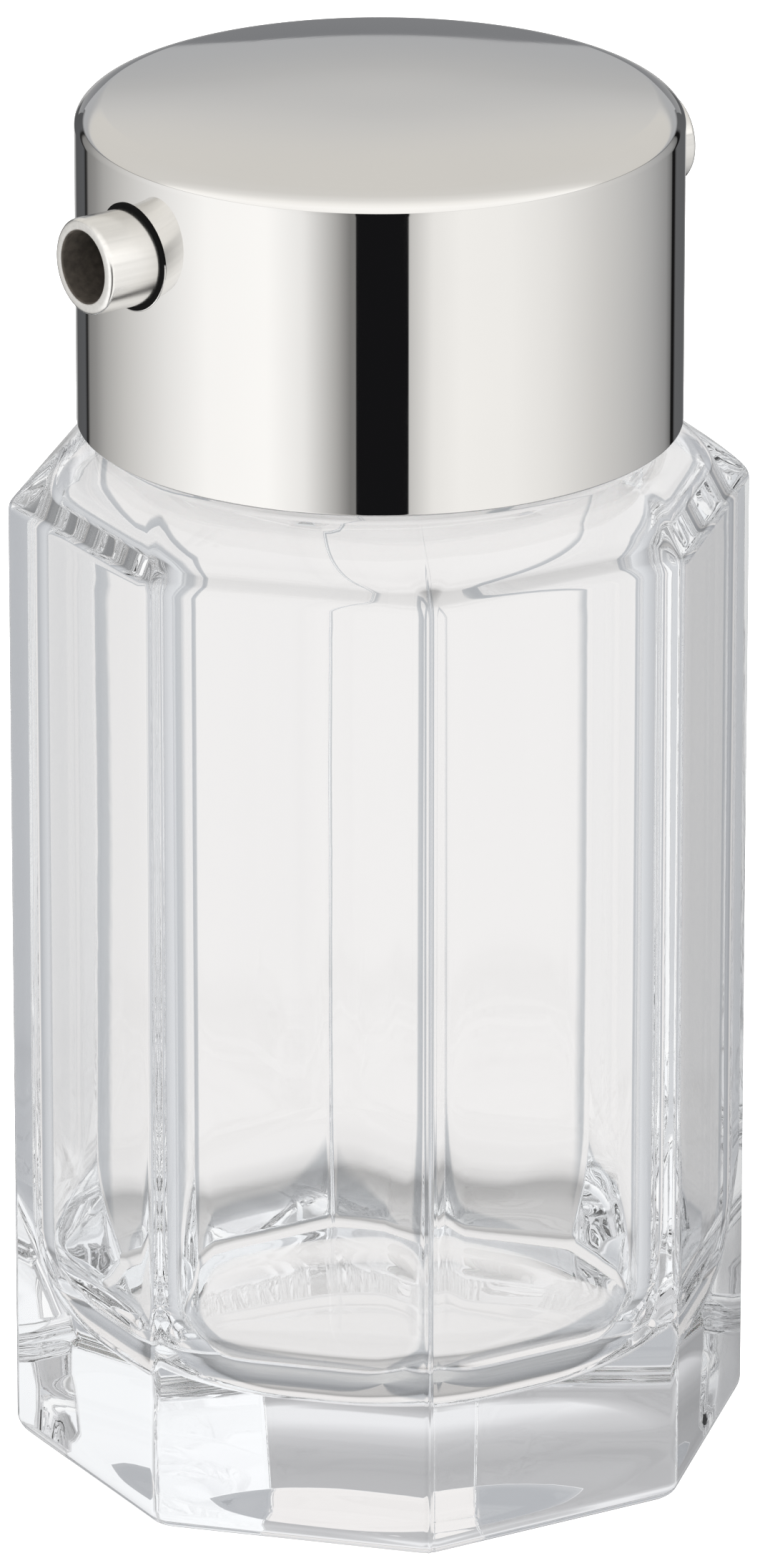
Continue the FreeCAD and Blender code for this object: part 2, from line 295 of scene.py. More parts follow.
def glass_outline():
    """Stations (distance of the flat sides, rounding of the corners, height, on the outside, on the neck)."""
    stations = []

    def station(flat, rounding, height, outside=0.0, neck=0.0):
        stations.append((flat, min(rounding, flat * 0.9999), height, outside, neck))

    def shares(steps):
        return [step / steps for step in range(1, steps + 1)]

    foot_flat = flat_distance - heel
    for share in [0.0] + shares(12):
        radius = foot_dish_radius * share
        station(radius, radius, foot_dish_depth * (1 - share ** 2))
    for share in shares(8):
        rounding = between(foot_dish_radius, corner_round * 1.6, share ** 0.6)
        station(between(foot_dish_radius, foot_flat, share), rounding, 0)
    for sine, cosine in quarter_turn(12):
        rounding = between(corner_round, corner_round * 1.5, cosine)
        station(foot_flat + heel * sine, rounding, heel * (1 - cosine), 1.0)
    for share in shares(34):
        station(flat_distance, corner_round, between(heel, crease_start, share), 1.0)
    for share in shares(8):
        turn = crease_turn * share
        height = crease_start + crease_round * math.sin(turn)
        station(flat_distance - crease_round * (1 - math.cos(turn)), corner_round, height, 1.0)
    shoulder_rise = shoulder_end - stations[-1][2]
    first_fall = shoulder_rise * math.tan(crease_turn)
    more_fall = stations[-1][0] - shoulder_radius - first_fall
    crease_flat, crease_top = stations[-1][0], stations[-1][2]
    for share in shares(36):
        flat = crease_flat - first_fall * share - more_fall * share ** 2
        rounding = between(corner_round, shoulder_radius, share ** 1.6)
        station(flat, rounding, crease_top + shoulder_rise * share, 1.0)
    for share in shares(4):
        radius = between(shoulder_radius, neck_radius + neck_root_round, share)
        station(radius, radius, shoulder_end, 1.0)
    for sine, cosine in quarter_turn(6):
        radius = neck_radius + neck_root_round * (1 - sine)
        station(radius, radius, shoulder_end + neck_root_round * (1 - cosine), 1.0, 1.0)
    rim_start = neck_top - neck_rim_round
    for share in shares(64):
        height = between(shoulder_end + neck_root_round, rim_start, share)
        station(neck_radius, neck_radius, height, 1.0, 1.0)
    for sine, cosine in quarter_turn(8):
        radius = neck_radius - neck_rim_round * (1 - cosine)
        station(radius, radius, rim_start + neck_rim_round * sine)
    for sine, cosine in [(0.0, 1.0)] + quarter_turn(8):
        radius = neck_bore + neck_rim_round * (1 - sine)
        station(radius, radius, rim_start + neck_rim_round * cosine)
    for share in shares(12):
        station(neck_bore, neck_bore, between(rim_start, throat, share))
    for share in shares(24):
        flat = between(neck_bore, hollow_flat, math.sin(share * math.pi / 2) ** 1.15)
        rounding = between(neck_bore, hollow_round, share * share * (3 - 2 * share))
        station(flat, rounding, between(throat, hollow_ceiling, share ** 1.6))
    for share in shares(30):
        station(hollow_flat, hollow_round, between(hollow_ceiling, hollow_floor + hollow_floor_round, share))
    for index, (sine, cosine) in enumerate(quarter_turn(18)):
        flat = hollow_flat - hollow_floor_round * (1 - cosine)
        rounding = between(hollow_round, flat, ((index + 1) / 18) ** 1.5)
        station(flat, rounding, hollow_floor + hollow_floor_round * (1 - sine))
    for share in shares(10):
        radius = (hollow_flat - hollow_floor_round) * (1 - share)
        station(radius, radius, hollow_floor)
    return stations


def pressed_octagon_tree():
    """Geometry nodes that carry an outline round an eight-sided body, with its thread and its mould seam."""
    tree = bpy.data.node_groups.new("pressed_octagon", "GeometryNodeTree")
    tree.interface.new_socket("Outline", in_out="INPUT", socket_type="NodeSocketGeometry")
    for name, kind in (
        ("Facets", "Int"), ("Steps per Facet", "Int"), ("Facet Turn", "Float"),
        ("Thread Height", "Float"), ("Thread Width", "Float"), ("Thread Pitch", "Float"),
        ("Thread Start", "Float"), ("Thread Turns", "Float"),
        ("Seam Height", "Float"), ("Seam Width", "Float"), ("Seam Corner", "Float"),
        ("Ripple", "Float"), ("Glass", "Material"),
    ):
        tree.interface.new_socket(name, in_out="INPUT", socket_type="NodeSocket" + kind)
    tree.interface.new_socket("Geometry", in_out="OUTPUT", socket_type="NodeSocketGeometry")
    given = tree.nodes.new("NodeGroupInput").outputs
    result = tree.nodes.new("NodeGroupOutput")

    def op(operation, *values):
        return maths(tree, operation, *values)

    def fade_over(value, start, end):
        """Goes smoothly from 1 at the start to 0 at the end."""
        limits = {"Value": value, "From Min": start, "From Max": end, "To Min": 1.0, "To Max": 0.0}
        return add_node(tree, "ShaderNodeMapRange", limits, interpolation_type="SMOOTHSTEP").outputs["Result"]

    outline = given["Outline"]
    count = add_node(tree, "GeometryNodeAttributeDomainSize", {"Geometry": outline}).outputs["Point Count"]
    columns = op("ADD", op("MULTIPLY", given["Facets"], given["Steps per Facet"]), 1)
    sides = {"Vertices X": columns, "Vertices Y": count}
    grid = add_node(tree, "GeometryNodeMeshGrid", sides).outputs["Mesh"]
    index = add_node(tree, "GeometryNodeInputIndex").outputs[0]
    row = op("MODULO", index, count)
    column = op("FLOOR", op("DIVIDE", index, count))

    def at_row(name):
        stored = add_node(tree, "GeometryNodeInputNamedAttribute", {"Name": name}, data_type="FLOAT")
        given_row = {"Geometry": outline, "Index": row, "Value": stored.outputs["Attribute"]}
        return add_node(tree, "GeometryNodeSampleIndex", given_row, data_type="FLOAT").outputs["Value"]

    flat, rounding, height, outside, neck = [at_row(name) for name in station_values]

    # Round one facet: a third of its steps lie on the flat, and the rest crowd towards the corners.
    flat_share = 1 / 6
    position = op("DIVIDE", column, given["Steps per Facet"])
    facet = op("FLOOR", position)
    share = op("SUBTRACT", position, facet)
    mirrored = op("GREATER_THAN", share, 0.5)
    near = op("MINIMUM", share, op("SUBTRACT", 1.0, share))
    along = op("MINIMUM", op("DIVIDE", near, flat_share), 1.0)
    past_flat = op("MAXIMUM", op("SUBTRACT", near, flat_share), 0.0)
    into_corner = op("DIVIDE", past_flat, 0.5 - flat_share)
    eased = op("SUBTRACT", 1.0, op("POWER", op("SUBTRACT", 1.0, into_corner), 2.0))
    bend = op("MULTIPLY", eased, half_facet)
    straight = op("MULTIPLY", op("SUBTRACT", flat, rounding), math.tan(half_facet))
    out = op("ADD", flat, op("MULTIPLY", rounding, op("SUBTRACT", op("COSINE", bend), 1.0)))
    aside = op("ADD", op("MULTIPLY", straight, along), op("MULTIPLY", rounding, op("SINE", bend)))
    sign = op("SUBTRACT", 1.0, op("MULTIPLY", mirrored, 2.0))
    local_angle = op("MULTIPLY", op("ARCTAN2", aside, out), sign)
    radius = op("SQRT", op("ADD", op("MULTIPLY", out, out), op("MULTIPLY", aside, aside)))
    facet_angle = op("MULTIPLY", op("ADD", facet, mirrored), 2 * half_facet)
    angle = op("ADD", op("ADD", facet_angle, local_angle), given["Facet Turn"])

    # The thread's ridge climbs one pitch a turn and fades out at both ends.
    lap = op("FRACT", op("ADD", op("DIVIDE", angle, 2 * math.pi), 1.0))
    climbed = op("DIVIDE", op("SUBTRACT", height, given["Thread Start"]), given["Thread Pitch"])
    travelled = op("ADD", lap, op("ROUND", op("SUBTRACT", climbed, lap)))
    off_line = op("MULTIPLY", op("ABSOLUTE", op("SUBTRACT", climbed, travelled)), given["Thread Pitch"])
    crest, root = [op("MULTIPLY", given["Thread Width"], part) for part in (0.2, 0.6)]
    ridge = fade_over(off_line, crest, root)
    to_end = op("MINIMUM", travelled, op("SUBTRACT", given["Thread Turns"], travelled))
    started = op("SUBTRACT", 1.0, fade_over(to_end, 0.0, 0.09))
    thread = op("MULTIPLY", op("MULTIPLY", ridge, started), op("MULTIPLY", neck, given["Thread Height"]))

    # The mould's two halves meet at one corner and at the corner opposite.
    from_seam = op("SUBTRACT", op("ADD", facet, 0.5), given["Seam Corner"])
    half_count = op("DIVIDE", given["Facets"], 2.0)
    apart = op("PINGPONG", from_seam, half_count)
    on_seam = op("MAXIMUM", op("COMPARE", apart, 0.0, 0.3), op("COMPARE", apart, half_count, 0.3))
    from_corner = op("MULTIPLY", radius, op("SUBTRACT", half_facet, op("ABSOLUTE", local_angle)))
    fin = fade_over(from_corner, 0.0, given["Seam Width"])
    seam = op("MULTIPLY", op("MULTIPLY", fin, on_seam), op("MULTIPLY", outside, given["Seam Height"]))

    full = op("ADD", radius, op("ADD", thread, seam))
    east, north = [op("MULTIPLY", full, op(part, angle)) for part in ("COSINE", "SINE")]
    place = add_node(tree, "ShaderNodeCombineXYZ", {"X": east, "Y": north, "Z": height}).outputs[0]
    shaped = add_node(tree, "GeometryNodeSetPosition", {"Geometry": grid, "Position": place}).outputs[0]
    doubles = {"Geometry": shaped, "Distance": 0.002 * MM}
    merged = add_node(tree, "GeometryNodeMergeByDistance", doubles).outputs[0]

    # Slow hollows of a pressed skin, never outwards of the true shape.
    where = add_node(tree, "GeometryNodeInputPosition").outputs[0]
    slow = {"Vector": where, "Scale": 34.0, "Detail": 1.0, "Roughness": 0.3}
    noise = add_node(tree, "ShaderNodeTexNoise", slow).outputs[0]
    swell = op("MULTIPLY", op("SUBTRACT", noise, 0.72), given["Ripple"])
    normal = add_node(tree, "GeometryNodeInputNormal").outputs[0]
    push = add_node(tree, "ShaderNodeVectorMath", {0: normal, "Scale": swell}, operation="SCALE").outputs[0]
    rippled = add_node(tree, "GeometryNodeSetPosition", {"Geometry": merged, "Offset": push}).outputs[0]
    smooth = add_node(tree, "GeometryNodeSetShadeSmooth", {"Geometry": rippled}).outputs[0]
    real = add_node(tree, "GeometryNodeRealizeInstances", {"Geometry": smooth}).outputs[0]
    dressed = {"Geometry": real, "Material": given["Glass"]}
    tree.links.new(add_node(tree, "GeometryNodeSetMaterial", dressed).outputs[0], result.inputs["Geometry"])
    return tree


def new_material(name, colour, metallic, roughness):
    """Material with a Principled surface, its node tree, that surface, and where the object is shaded."""
    material = bpy.data.materials.new(name)
    material.use_nodes = True
    tree = material.node_tree
    surface = tree.nodes["Principled BSDF"]
    surface.inputs["Base Color"].default_value = (*colour, 1)
    surface.inputs["Metallic"].default_value = metallic
    surface.inputs["Roughness"].default_value = roughness
    where = add_node(tree, "ShaderNodeTexCoord").outputs["Object"]
    return material, tree, surface, where


def clear_glass():
    """Colourless glass, faintly hazed by handling in places, with a fire-polished skin's fine unevenness."""
    material, tree, surface, where = new_material("clear_pressed_glass", (0.985, 0.991, 0.993), 0.0, 0.0)
    surface.inputs["Transmission Weight"].default_value = 1.0
    surface.inputs["IOR"].default_value = 1.52
    film = add_node(tree, "ShaderNodeTexNoise", {"Vector": where, "Scale": 260.0, "Detail": 3.0}).outputs[0]
    limits = {"Value": film, "From Min": 0.55, "From Max": 0.8, "To Min": 0.0, "To Max": 0.012}
    tree.links.new(add_node(tree, "ShaderNodeMapRange", limits).outputs[0], surface.inputs["Roughness"])
    skin = add_node(tree, "ShaderNodeTexNoise", {"Vector": where, "Scale": 300.0, "Detail": 2.0}).outputs[0]
    bump = {"Height": skin, "Strength": 0.005, "Distance": 0.4 * MM}
    tree.links.new(add_node(tree, "ShaderNodeBump", bump).outputs[0], surface.inputs["Normal"])
    return material


def plain_mesh(carrier):
    """Turns an object with live modifiers into a finished piece with a plain mesh."""
    bpy.context.view_layer.update()
    evaluated = carrier.evaluated_get(bpy.context.evaluated_depsgraph_get())
    mesh = bpy.data.meshes.new_from_object(evaluated)
    carrier.modifiers.clear()
    carrier.data = mesh
    return carrier


def make_bottle():
    stations = glass_outline()
    outline = bpy.data.meshes.new("bottle_outline")
    links = [(index, index + 1) for index in range(len(stations) - 1)]
    outline.from_pydata([(row[0], 0, row[2]) for row in stations], links, [])
    for column, name in enumerate(station_values):
        attribute = outline.attributes.new(name, "FLOAT", "POINT")
        attribute.data.foreach_set("value", [row[column] for row in stations])
    bottle = bpy.data.objects.new("glass_body", outline)
    bpy.context.scene.collection.objects.link(bottle)
    tree = pressed_octagon_tree()
    modifier = bottle.modifiers.new("pressing", "NODES")
    modifier.node_group = tree
    thread_turns = 1.5
    values = {
        "Facets": facets, "Steps per Facet": 24, "Facet Turn": facet_turn,
        "Thread Height": 1.12 * MM, "Thread Width": 2.0 * MM, "Thread Pitch": thread_pitch,
        "Thread Start": neck_top - 2.4 * MM - thread_turns * thread_pitch, "Thread Turns": thread_turns,
        "Seam Height": 0.14 * MM, "Seam Width": 0.2 * MM, "Seam Corner": 5.5, "Ripple": 0.05 * MM,
        "Glass": clear_glass(),
    }
    for item in tree.interface.items_tree:
        if item.in_out == "INPUT" and item.name in values:
            modifier[item.identifier] = values[item.name]
    return plain_mesh(bottle)


glass_body = make_bottle()
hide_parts("glass_bottle")
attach(glass_body, "bottle")


# ---------------------------------------------------------------- rim gasket
# A ring of milky silicone rubber, stamped from sheet, held in the liner over the bottle's rim. Stamping
# leaves its faces with the sheet's dull mottle.
def moulded_skin_group():
    """Mottled roughness and fine grain of moulded plastic or rubber."""
    tree = bpy.data.node_groups.new("moulded_skin", "ShaderNodeTree")
    tree.interface.new_socket("Place", in_out="INPUT", socket_type="NodeSocketVector")
    for name in ("Grain Scale", "Least Roughness", "Most Roughness"):
        tree.interface.new_socket(name, in_out="INPUT", socket_type="NodeSocketFloat")
    for name in ("Mottle", "Roughness", "Height"):
        tree.interface.new_socket(name, in_out="OUTPUT", socket_type="NodeSocketFloat")
    given = tree.nodes.new("NodeGroupInput").outputs
    result = tree.nodes.new("NodeGroupOutput").inputs
    broad_scale = maths(tree, "MULTIPLY", given["Grain Scale"], 0.08)
    broad = {"Vector": given["Place"], "Scale": broad_scale, "Detail": 4.0}
    mottle = add_node(tree, "ShaderNodeTexNoise", broad).outputs[0]
    fine = {"Vector": given["Place"], "Scale": given["Grain Scale"], "Detail": 2.0}
    grain = add_node(tree, "ShaderNodeTexNoise", fine).outputs[0]
    limits = {"Value": mottle, "From Min": 0.3, "From Max": 0.7,
              "To Min": given["Least Roughness"], "To Max": given["Most Roughness"]}
    tree.links.new(mottle, result["Mottle"])
    tree.links.new(add_node(tree, "ShaderNodeMapRange", limits).outputs[0], result["Roughness"])
    tree.links.new(grain, result["Height"])
    return tree


moulded_skin = moulded_skin_group()


def moulded_material(name, dark, light, grain_scale, roughness, relief):
    """Plastic or rubber whose colour and roughness drift slowly, with a fine grain."""
    material, tree, surface, where = new_material(name, light, 0.0, 0.5)
    skin = tree.nodes.new("ShaderNodeGroup")
    skin.node_tree = moulded_skin
    tree.links.new(where, skin.inputs["Place"])
    skin.inputs["Grain Scale"].default_value = grain_scale
    skin.inputs["Least Roughness"].default_value = roughness[0]
    skin.inputs["Most Roughness"].default_value = roughness[1]
    colour = mix(tree, skin.outputs["Mottle"], (*dark, 1), (*light, 1))
    bump = {"Height": skin.outputs["Height"], "Strength": relief, "Distance": 0.05 * MM}
    tree.links.new(colour, surface.inputs["Base Color"])
    tree.links.new(skin.outputs["Roughness"], surface.inputs["Roughness"])
    tree.links.new(add_node(tree, "ShaderNodeBump", bump).outputs[0], surface.inputs["Normal"])
    return material


def dress_node(name, material):
    """Gives a carried-over node its finished material."""
    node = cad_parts[name]
    if not node.material_slots:
        node.data.materials.append(material)
    for slot in node.material_slots:
        slot.material = material


def let_light_in(material, weight, depth):
    """Makes a material milky down to that depth."""
    surface = material.node_tree.nodes["Principled BSDF"].inputs
    surface["Subsurface Weight"].default_value = weight
    surface["Subsurface Scale"].default_value = depth


milky_silicone = moulded_material(
    "milky_silicone", (0.62, 0.61, 0.57), (0.78, 0.77, 0.73), 2600.0, (0.42, 0.6), 0.5)
let_light_in(milky_silicone, 0.35, 1.0 * MM)
dress_node("rim_gasket", milky_silicone)


# ---------------------------------------------------------------- cap liner
# A white polypropylene sleeve with the cap's thread, a deck over the gasket and a boss for each tube, moulded
# in one and pressed into the steel shell. Its skin is a little glossy and lets some light in.
white_plastic = moulded_material(
    "white_polypropylene", (0.7, 0.7, 0.67), (0.84, 0.84, 0.81), 1800.0, (0.3, 0.48), 0.4)
let_light_in(white_plastic, 0.15, 0.8 * MM)
dress_node("cap_liner", white_plastic)


# ---------------------------------------------------------------- cap shell
# A cup drawn from 0.5 mm stainless sheet and polished to a mirror: a nearly flat top that falls away faster
# towards a tight rounding, a rounded lower lip, and a hole with a small raised lip for each tube.
shell_low, shell_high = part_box("cap_shell")
tube_low, tube_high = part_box("pour_tube")
tube_axis = (tube_low.z + tube_high.z) / 2
cap_radius = 24.99 * MM
sheet = 0.5 * MM
corner_width = 2.3 * MM
corner_spread = 2.9 * MM
corner_tight = 1.3 * MM
corner_steps = 20
dome_steps = 41
dome_fall = 0.3 * MM
dome_power = 3.0
cap_segments = 288
hole_radius = 4.3 * MM
hole_axis = tube_axis - 0.1 * MM
hole_lip = 0.12 * MM
hole_lip_offset = 0.04 * MM
lip_height = shell_low.z + sheet / 2


def corner_profile():
    """Distance in from the wall, fall below the top's edge and slope, from the top's edge to the wall."""
    slope = math.atan(dome_power * dome_fall / (cap_radius - corner_width))
    turn = (math.pi / 2 - slope) / corner_steps
    inward, below = 0.0, 0.0
    profile = [(inward, below, slope)]
    for step in range(corner_steps):
        middle = slope + turn * (step + 0.5)
        share = min(max((math.degrees(middle) - 30) / 35, 0), 1)
        reach = between(corner_spread, corner_tight, share * share * (3 - 2 * share)) * turn
        inward += reach * math.cos(middle)
        below += reach * math.sin(middle)
        profile.append((inward, below, slope + turn * (step + 1)))
    return [(inward - along, down, lean) for along, down, lean in profile]


corner = corner_profile()
dome_slope = corner[0][2]
dome_edge = cap_radius - corner[0][0]
corner_height = shell_high.z - dome_fall - corner[-1][1]


def cap_skin(inset):
    """Radius, height and slope of points from the pole down to the lip, on one side of the sheet."""
    skin = []
    for step in range(dome_steps):
        radius = dome_edge * math.sin(math.radians(90 * step / dome_steps))
        share = radius / dome_edge
        slope = math.atan(math.tan(dome_slope) * share ** (dome_power - 1))
        height = shell_high.z - dome_fall * share ** dome_power
        skin.append((radius - inset * math.sin(slope), height - inset * math.cos(slope), slope))
    for inward, below, slope in corner:
        radius = cap_radius - inward - inset * math.sin(slope)
        skin.append((radius, shell_high.z - dome_fall - below - inset * math.cos(slope), slope))
    for share in (0.25, 0.5, 0.75, 1.0):
        skin.append((cap_radius - inset, between(corner_height, lip_height, share), math.pi / 2))
    return skin


skins = (cap_skin(0.0), cap_skin(sheet))


def ring_bands(form, points, segments, place):
    """Closed bands of faces through the points in turn; a point on the axis becomes a single pole."""
    rows = []
    for radius, along in points:
        count = 1 if radius < 0.001 * MM else segments
        turns = [2 * math.pi * step / segments for step in range(count)]
        rows.append([form.verts.new(place(radius, along, turn)) for turn in turns])
    for first, second in zip(rows, rows[1:]):
        for step in range(segments):
            following = (step + 1) % segments
            corners = [first[step % len(first)], first[following % len(first)],
                       second[following % len(second)], second[step % len(second)]]
            form.faces.new(list(dict.fromkeys(corners)))


def finished_form(form, name, material):
    """Object from a form whose doubles are merged and whose faces all point outwards."""
    bmesh.ops.remove_doubles(form, verts=form.verts, dist=0.001 * MM)
    bmesh.ops.recalc_face_normals(form, faces=form.faces)
    mesh = bpy.data.meshes.new(name)
    form.to_mesh(mesh)
    form.free()
    mesh.materials.append(material)
    piece = bpy.data.objects.new(name, mesh)
    bpy.context.scene.collection.objects.link(piece)
    return piece


def around_upright(radius, height, angle):
    return (radius * math.cos(angle), radius * math.sin(angle), height)


def around_tube(radius, along, angle):
    return (along, radius * math.cos(angle), tube_axis + radius * math.sin(angle))


def around_hole(radius, along, angle):
    return (along, radius * math.cos(angle), hole_axis + radius * math.sin(angle))


def lathe_marks_group():
    """Fine rings left by polishing on a lathe about Z, with cloudier patches where a hand has wiped."""
    tree = bpy.data.node_groups.new("lathe_marks", "ShaderNodeTree")
    tree.interface.new_socket("Place", in_out="INPUT", socket_type="NodeSocketVector")
    for name in ("Ring Scale", "Least Roughness", "Most Roughness"):
        tree.interface.new_socket(name, in_out="INPUT", socket_type="NodeSocketFloat")
    for name in ("Cloud", "Roughness", "Height"):
        tree.interface.new_socket(name, in_out="OUTPUT", socket_type="NodeSocketFloat")
    given = tree.nodes.new("NodeGroupInput").outputs
    result = tree.nodes.new("NodeGroupOutput").inputs
    x, y, z = add_node(tree, "ShaderNodeSeparateXYZ", {"Vector": given["Place"]}).outputs
    squares = maths(tree, "ADD", maths(tree, "MULTIPLY", x, x), maths(tree, "MULTIPLY", y, y))
    travel = maths(tree, "ADD", maths(tree, "SQRT", squares), z)
    around = [maths(tree, "MULTIPLY", axis, 0.02) for axis in (x, y)]
    along = add_node(tree, "ShaderNodeCombineXYZ", {"X": around[0], "Y": around[1], "Z": travel}).outputs[0]
    fine = {"Vector": along, "Scale": given["Ring Scale"], "Detail": 2.0}
    rings = add_node(tree, "ShaderNodeTexNoise", fine).outputs[0]
    broad = {"Vector": given["Place"], "Scale": 90.0, "Detail": 5.0}
    cloud = add_node(tree, "ShaderNodeTexNoise", broad).outputs[0]
    limits = {"Value": cloud, "From Min": 0.35, "From Max": 0.75,
              "To Min": given["Least Roughness"], "To Max": given["Most Roughness"]}
    tree.links.new(cloud, result["Cloud"])
    tree.links.new(add_node(tree, "ShaderNodeMapRange", limits).outputs[0], result["Roughness"])
    tree.links.new(rings, result["Height"])
    return tree


lathe_marks = lathe_marks_group()


def add_lathe_marks(tree, place, ring_scale, least, most):
    marks = tree.nodes.new("ShaderNodeGroup")
    marks.node_tree = lathe_marks
    tree.links.new(place, marks.inputs["Place"])
    marks.inputs["Ring Scale"].default_value = ring_scale
    marks.inputs["Least Roughness"].default_value = least
    marks.inputs["Most Roughness"].default_value = most
    return marks.outputs


def mirror_steel():
    """Stainless steel polished to a mirror, a touch warm, with barely visible lathe rings."""
    material, tree, surface, where = new_material("mirror_polished_steel", (0.74, 0.73, 0.72), 1.0, 0.03)
    marks = add_lathe_marks(tree, where, 5200.0, 0.02, 0.045)
    colour = mix(tree, marks["Cloud"], (0.725, 0.718, 0.708, 1), (0.755, 0.745, 0.73, 1))
    bump = {"Height": marks["Height"], "Strength": 0.03, "Distance": 0.01 * MM}
    tree.links.new(colour, surface.inputs["Base Color"])
    tree.links.new(marks["Roughness"], surface.inputs["Roughness"])
    tree.links.new(add_node(tree, "ShaderNodeBump", bump).outputs[0], surface.inputs["Normal"])
    return material


def hole_lip_form(side):
    """A thin raised bead that follows the cap's wall round one hole."""
    form = bmesh.new()
    rows = []
    bead_radius = hole_radius + hole_lip_offset
    for step in range(96):
        turn = 2 * math.pi * step / 96
        outward = Vector((0, math.cos(turn), math.sin(turn)))
        y = bead_radius * outward.y
        centre = Vector((side * math.sqrt(cap_radius ** 2 - y ** 2), y, hole_axis + bead_radius * outward.z))
        off_wall = Vector((centre.x, centre.y, 0)).normalized()
        row = []
        for part in range(12):
            lean = 2 * math.pi * (part + 0.5) / 12
            sideways = outward * math.cos(lean) + off_wall * math.sin(lean)
            row.append(form.verts.new(centre + sideways * hole_lip))
        rows.append(row)
    for index, row in enumerate(rows):
        following = rows[(index + 1) % len(rows)]
        for part in range(12):
            after = (part + 1) % 12
            form.faces.new((row[part], row[after], following[after], following[part]))
    return form


def true_cap_normal(place, face_centre, face_normal):
    """Exact direction of the surface at a point of the cap shell."""
    from_axis = Vector((0, place.y, place.z - hole_axis))
    centre_distance = math.hypot(face_centre.y, face_centre.z - hole_axis)
    wall_normal = Vector((place.x, place.y, 0)).normalized()
    at_side = abs(face_centre.x) > cap_radius / 2
    if at_side and centre_distance < hole_radius + 0.01 * MM:
        return -from_axis.normalized()
    off_wall = math.hypot(face_centre.x, face_centre.y) - cap_radius
    if at_side and centre_distance < hole_radius + hole_lip + hole_lip_offset and off_wall > 0:
        aside = from_axis.length - hole_radius - hole_lip_offset
        above = math.hypot(place.x, place.y) - cap_radius
        return (from_axis.normalized() * aside + wall_normal * above).normalized()
    radius = math.hypot(place.x, place.y)
    inside = face_normal.dot(face_centre - Vector((0, 0, lip_height))) < 0
    if place.z < lip_height:
        across = Vector((wall_normal.x, wall_normal.y, 0)) * (radius - cap_radius + sheet / 2)
        return (across + Vector((0, 0, place.z - lip_height))).normalized()
    inset = sheet if inside else 0.0
    slope = math.atan(math.tan(dome_slope) * (radius / dome_edge) ** (dome_power - 1))
    if radius > dome_edge - inset * math.sin(dome_slope) - 0.001 * MM:
        corner_skin = skins[inside][dome_steps:dome_steps + corner_steps + 1]
        gaps = [(math.hypot(point[0] - radius, point[1] - place.z), point[2]) for point in corner_skin]
        slope = min(gaps)[1]
    if place.z < corner_height:
        slope = math.pi / 2
    normal = wall_normal * math.sin(slope) + Vector((0, 0, math.cos(slope)))
    return -normal if inside else normal


def make_cap_shell():
    steel = mirror_steel()
    outside, inside = [[(radius, height) for radius, height, slope in skin] for skin in skins]
    lip_middle = cap_radius - sheet / 2
    lip = []
    for step in range(1, 8):
        turn = math.pi * step / 8
        lip.append((lip_middle + sheet / 2 * math.cos(turn), lip_height - sheet / 2 * math.sin(turn)))
    form = bmesh.new()
    ring_bands(form, outside + lip + inside[::-1], cap_segments, around_upright)
    shell = finished_form(form, "polished_cap", steel)
    drill = bmesh.new()
    ends = 2 * cap_radius
    ring_bands(drill, [(0, -ends), (hole_radius, -ends), (hole_radius, ends), (0, ends)], 96, around_hole)
    tools = [("UNION", finished_form(hole_lip_form(side), "hole_lip", steel)) for side in (-1, 1)]
    tools.append(("DIFFERENCE", finished_form(drill, "hole_drill", steel)))
    for operation, tool in tools:
        modifier = shell.modifiers.new("hole", "BOOLEAN")
        modifier.operation = operation
        modifier.solver = "EXACT"
        modifier.object = tool
    plain_mesh(shell)
    for operation, tool in tools:
        bpy.data.objects.remove(tool)
    mesh = shell.data
    mesh.shade_smooth()
    normals = [Vector()] * len(mesh.loops)
    for face in mesh.polygons:
        for loop in face.loop_indices:
            place = mesh.vertices[mesh.loops[loop].vertex_index].co
            normals[loop] = true_cap_normal(place, face.center, face.normal)
    mesh.normals_split_custom_set(normals)
    return shell


polished_cap = make_cap_shell()
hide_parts("cap_shell")
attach(polished_cap, "cap")


# ---------------------------------------------------------------- pour tube and vent tube
# Two short lengths of drawn stainless tube, each with a collar that bears on the liner's boss. The outside
# is bright with faint lines along it and the cut end is turned smooth; the bore is dull and painted
# near-black brown as painted shade for its hollow.
tube_radius = 4.0 * MM
tube_bore = 2.95 * MM
tube_end_round = 0.42 * MM
bore_end_round = 0.2 * MM
collar_radius = 5.08 * MM
collar_thickness = 0.8 * MM


